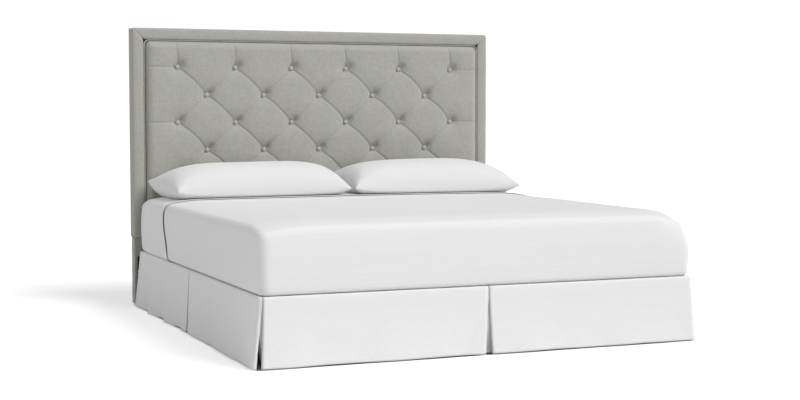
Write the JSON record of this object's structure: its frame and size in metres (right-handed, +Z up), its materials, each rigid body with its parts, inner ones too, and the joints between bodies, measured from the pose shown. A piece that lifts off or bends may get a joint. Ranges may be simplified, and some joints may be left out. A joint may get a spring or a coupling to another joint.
{
  "type": "upholstered headboard bed",
  "caption": "King bed with a diamond-tufted fabric headboard in a padded border, metal frame, box springs, pleated skirt, mattress, sheets and pillows.",
  "frame": {"origin": "on the floor, under the middle of the whole bed", "axes": "+X across the bed, +Y towards the headboard, +Z up"},
  "size_m": [1.992, 2.16, 1.41],
  "materials": {
    "headboard_fabric": "matte",
    "foam": "matte",
    "wadding": "matte",
    "frame_wood": "matte",
    "plywood": "matte",
    "black_backing": "matte",
    "twine": "matte",
    "plastic": "satin",
    "black_steel": "satin",
    "zinc_steel": "satin",
    "ticking": "matte",
    "white_sheet": "matte",
    "white_skirt": "matte"
  },
  "bodies": {
    "bed_frame": {"border_cover_bottom": "headboard_fabric", "border_cover_left": "headboard_fabric", "border_cover_right": "headboard_fabric", "border_cover_top": "headboard_fabric", "border_padding_left": "wadding", "border_padding_right": "wadding", "border_padding_top": "wadding", "button_twine": "twine", "centre_legs": "black_steel", "centre_rail": "black_steel", "corner_leg_glides": "plastic", "corner_legs": "black_steel", "cross_rail_foot": "black_steel", "cross_rail_head": "black_steel", "cross_rail_middle": "black_steel", "frame_rivets": "zinc_steel", "headboard_back_cover": "black_backing", "headboard_bolts": "zinc_steel", "headboard_bottom_rail": "frame_wood", "headboard_bracket_left": "black_steel", "headboard_bracket_right": "black_steel", "headboard_leg_covers": "headboard_fabric", "headboard_leg_glides": "plastic", "headboard_leg_left": "frame_wood", "headboard_leg_right": "frame_wood", "headboard_stile_left": "frame_wood", "headboard_stile_right": "frame_wood", "headboard_studs": "frame_wood", "headboard_top_rail": "frame_wood", "panel_foam": "foam", "panel_welt": "headboard_fabric", "side_rail_left": "black_steel", "side_rail_right": "black_steel", "tufted_panel_cover": "headboard_fabric", "tufting_board": "plywood", "tufting_buttons": "headboard_fabric", "twine_anchors": "plastic"},
    "levelling_foot_head_body": {"levelling_foot_head": "zinc_steel"},
    "levelling_foot_middle_body": {"levelling_foot_middle": "zinc_steel"},
    "levelling_foot_foot_body": {"levelling_foot_foot": "zinc_steel"},
    "foundation": {"box_spring_cover_left": "ticking", "box_spring_cover_right": "ticking", "box_spring_frame_left": "frame_wood", "box_spring_frame_right": "frame_wood", "box_spring_grid_left": "zinc_steel", "box_spring_grid_right": "zinc_steel"},
    "bed_skirt": {"skirt_deck": "white_skirt", "skirt_panels_foot": "white_skirt", "skirt_panels_left": "white_skirt", "skirt_panels_right": "white_skirt", "skirt_pleat_inserts": "white_skirt"},
    "mattress": {"mattress_base": "foam", "mattress_comfort_layer": "foam", "mattress_cover": "ticking", "fitted_sheet": "white_sheet", "top_sheet": "white_sheet"},
    "pillow_left": {"pillow_insert_left": "wadding", "pillowcase_left": "white_sheet"},
    "pillow_right": {"pillow_insert_right": "wadding", "pillowcase_right": "white_sheet"}
  },
  "joints": [
    {"name": "foot_screw_head", "type": "slide", "parent": "bed_frame", "child": "levelling_foot_head_body", "axis": [0, 0, -1], "range_m": [0, 0.02]},
    {"name": "foot_screw_middle", "type": "slide", "parent": "bed_frame", "child": "levelling_foot_middle_body", "axis": [0, 0, -1], "range_m": [0, 0.02]},
    {"name": "foot_screw_foot", "type": "slide", "parent": "bed_frame", "child": "levelling_foot_foot_body", "axis": [0, 0, -1], "range_m": [0, 0.02]},
    {"name": "foundation_lift", "type": "slide", "parent": "bed_frame", "child": "foundation", "axis": [0, 0, 1], "range_m": [0, 0.2]},
    {"name": "skirt_lift", "type": "slide", "parent": "foundation", "child": "bed_skirt", "axis": [0, 0, 1], "range_m": [0, 0.35]},
    {"name": "mattress_lift", "type": "slide", "parent": "bed_skirt", "child": "mattress", "axis": [0, 0, 1], "range_m": [0, 0.4]},
    {"name": "pillow_left_lift", "type": "slide", "parent": "mattress", "child": "pillow_left", "axis": [0, 0, 1], "range_m": [0, 0.87]},
    {"name": "pillow_right_lift", "type": "slide", "parent": "mattress", "child": "pillow_right", "axis": [0, 0, 1], "range_m": [0, 0.87]}
  ]
}
